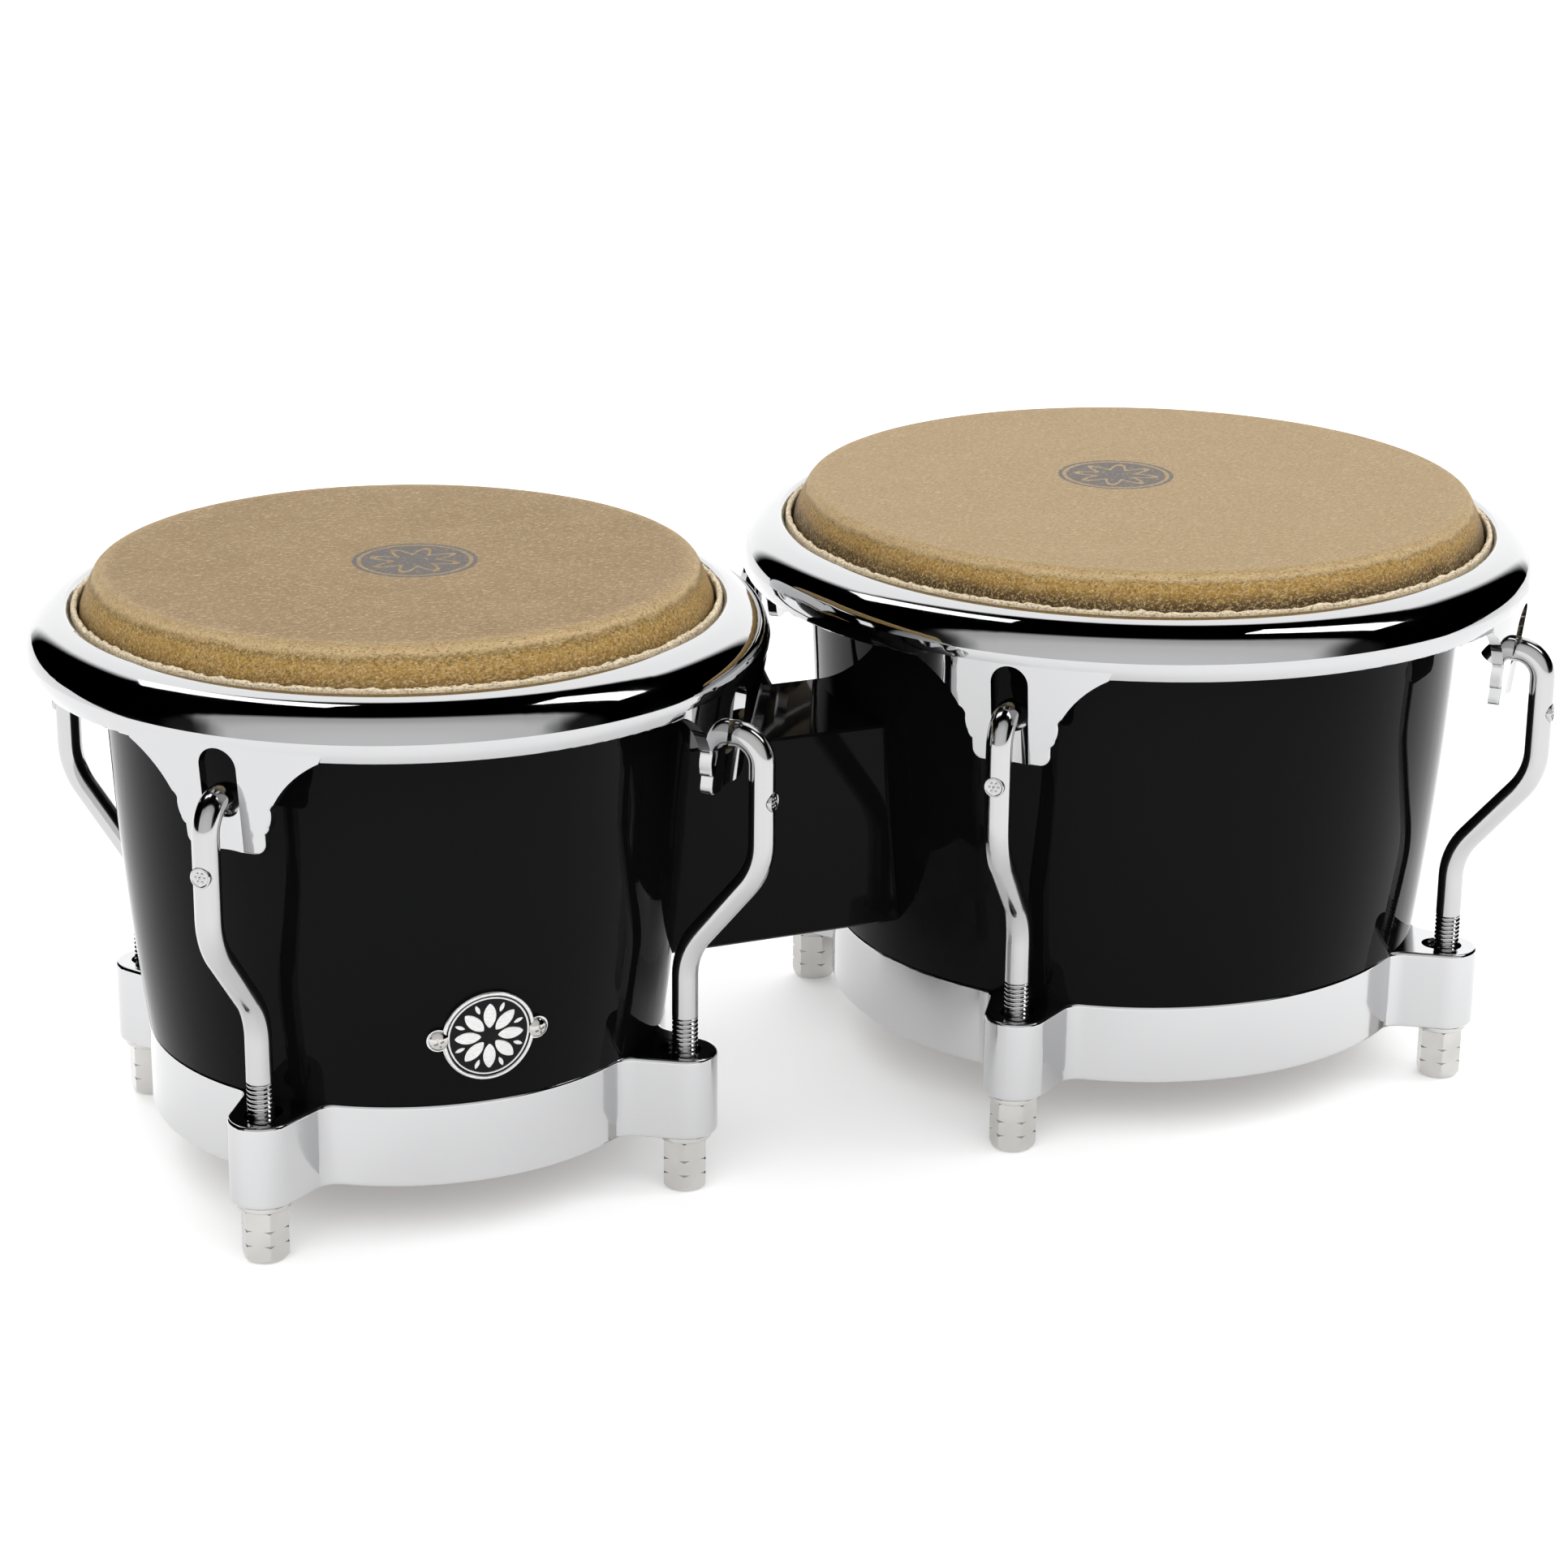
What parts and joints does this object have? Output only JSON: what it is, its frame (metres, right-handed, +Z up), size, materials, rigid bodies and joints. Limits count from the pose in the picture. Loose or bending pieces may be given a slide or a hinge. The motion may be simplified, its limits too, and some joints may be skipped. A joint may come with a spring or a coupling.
{
  "type": "bongo drums",
  "caption": "Pair of tunable hand drums: tapered black wooden shells with hide heads, joined by a centre block, chrome rims pulled down by J-hooks into ring lugs.",
  "frame": {"origin": "on the floor that the eight tuning nuts stand on, under the centre of the overall box", "axes": "+Z up; +X from the axis of the small drum to the axis of the large drum, which is the longest extent; Y across"},
  "size_m": [0.49, 0.2568, 0.1884],
  "materials": {
    "shell_lacquer": "high-gloss black lacquer over turned hardwood",
    "block_lacquer": "gloss black lacquer over a solid wooden block",
    "chrome_casting": "bright chrome over a polished casting",
    "chrome_rod": "bright chrome on bent steel rod",
    "nickel_hardware": "nickel-plated turned steel",
    "inner_steel": "plain zinc-plated steel",
    "hide": "stretched rawhide, matt tan crown, olive-gold collar, pale cut edge",
    "badge_metal": "black enamelled plate with bare metal rings"
  },
  "bodies": {
    "root": {"centre_block": "block_lacquer", "small_shell": "shell_lacquer", "small_bottom_ring": "chrome_casting", "small_head_skin": "hide", "small_washers": "nickel_hardware", "small_block_bolts": "inner_steel", "small_block_washers": "inner_steel", "large_shell": "shell_lacquer", "large_bottom_ring": "chrome_casting", "large_head_skin": "hide", "large_washers": "nickel_hardware", "large_block_bolts": "inner_steel", "large_block_washers": "inner_steel", "badge_plate": "badge_metal", "badge_screws": "nickel_hardware"},
    "small_tension": {"small_rim": "chrome_casting", "small_flesh_hoop": "inner_steel", "small_hook_1": "chrome_rod", "small_hook_2": "chrome_rod", "small_hook_3": "chrome_rod", "small_hook_4": "chrome_rod"},
    "small_nut_1": {"small_nut_1": "nickel_hardware"},
    "small_nut_2": {"small_nut_2": "nickel_hardware"},
    "small_nut_3": {"small_nut_3": "nickel_hardware"},
    "small_nut_4": {"small_nut_4": "nickel_hardware"},
    "large_tension": {"large_rim": "chrome_casting", "large_flesh_hoop": "inner_steel", "large_hook_1": "chrome_rod", "large_hook_2": "chrome_rod", "large_hook_3": "chrome_rod", "large_hook_4": "chrome_rod"},
    "large_nut_1": {"large_nut_1": "nickel_hardware"},
    "large_nut_2": {"large_nut_2": "nickel_hardware"},
    "large_nut_3": {"large_nut_3": "nickel_hardware"},
    "large_nut_4": {"large_nut_4": "nickel_hardware"}
  },
  "joints": [
    {"name": "small_tuning", "type": "slide", "parent": "root", "child": "small_tension", "axis": [0, 0, -1], "range_m": [-0.003, 0.003], "deforming": ["small_head_skin"]},
    {"name": "small_nut_1_turn", "type": "hinge", "parent": "root", "child": "small_nut_1", "pos_m": [-0.19951, -0.06611, 0.0084], "axis": [0, 0, 1], "range_deg": [-770, 770]},
    {"name": "small_nut_2_turn", "type": "hinge", "parent": "root", "child": "small_nut_2", "pos_m": [-0.06729, -0.06611, 0.0084], "axis": [0, 0, 1], "range_deg": [-770, 770]},
    {"name": "small_nut_3_turn", "type": "hinge", "parent": "root", "child": "small_nut_3", "pos_m": [-0.06729, 0.06611, 0.0084], "axis": [0, 0, 1], "range_deg": [-770, 770]},
    {"name": "small_nut_4_turn", "type": "hinge", "parent": "root", "child": "small_nut_4", "pos_m": [-0.19951, 0.06611, 0.0084], "axis": [0, 0, 1], "range_deg": [-770, 770]},
    {"name": "large_tuning", "type": "slide", "parent": "root", "child": "large_tension", "axis": [0, 0, -1], "range_m": [-0.003, 0.003], "deforming": ["large_head_skin"]},
    {"name": "large_nut_1_turn", "type": "hinge", "parent": "root", "child": "large_nut_1", "pos_m": [0.03861, -0.07799, 0.0084], "axis": [0, 0, 1], "range_deg": [-770, 770]},
    {"name": "large_nut_2_turn", "type": "hinge", "parent": "root", "child": "large_nut_2", "pos_m": [0.19459, -0.07799, 0.0084], "axis": [0, 0, 1], "range_deg": [-770, 770]},
    {"name": "large_nut_3_turn", "type": "hinge", "parent": "root", "child": "large_nut_3", "pos_m": [0.19459, 0.07799, 0.0084], "axis": [0, 0, 1], "range_deg": [-770, 770]},
    {"name": "large_nut_4_turn", "type": "hinge", "parent": "root", "child": "large_nut_4", "pos_m": [0.03861, 0.07799, 0.0084], "axis": [0, 0, 1], "range_deg": [-770, 770]}
  ],
  "couplings": [
    {"joint": "small_nut_1_turn", "follows": "small_tuning", "rad_per_m": 4452.7},
    {"joint": "small_nut_2_turn", "follows": "small_tuning", "rad_per_m": 4452.7},
    {"joint": "small_nut_3_turn", "follows": "small_tuning", "rad_per_m": 4452.7},
    {"joint": "small_nut_4_turn", "follows": "small_tuning", "rad_per_m": 4452.7},
    {"joint": "large_nut_1_turn", "follows": "large_tuning", "rad_per_m": 4452.7},
    {"joint": "large_nut_2_turn", "follows": "large_tuning", "rad_per_m": 4452.7},
    {"joint": "large_nut_3_turn", "follows": "large_tuning", "rad_per_m": 4452.7},
    {"joint": "large_nut_4_turn", "follows": "large_tuning", "rad_per_m": 4452.7}
  ]
}
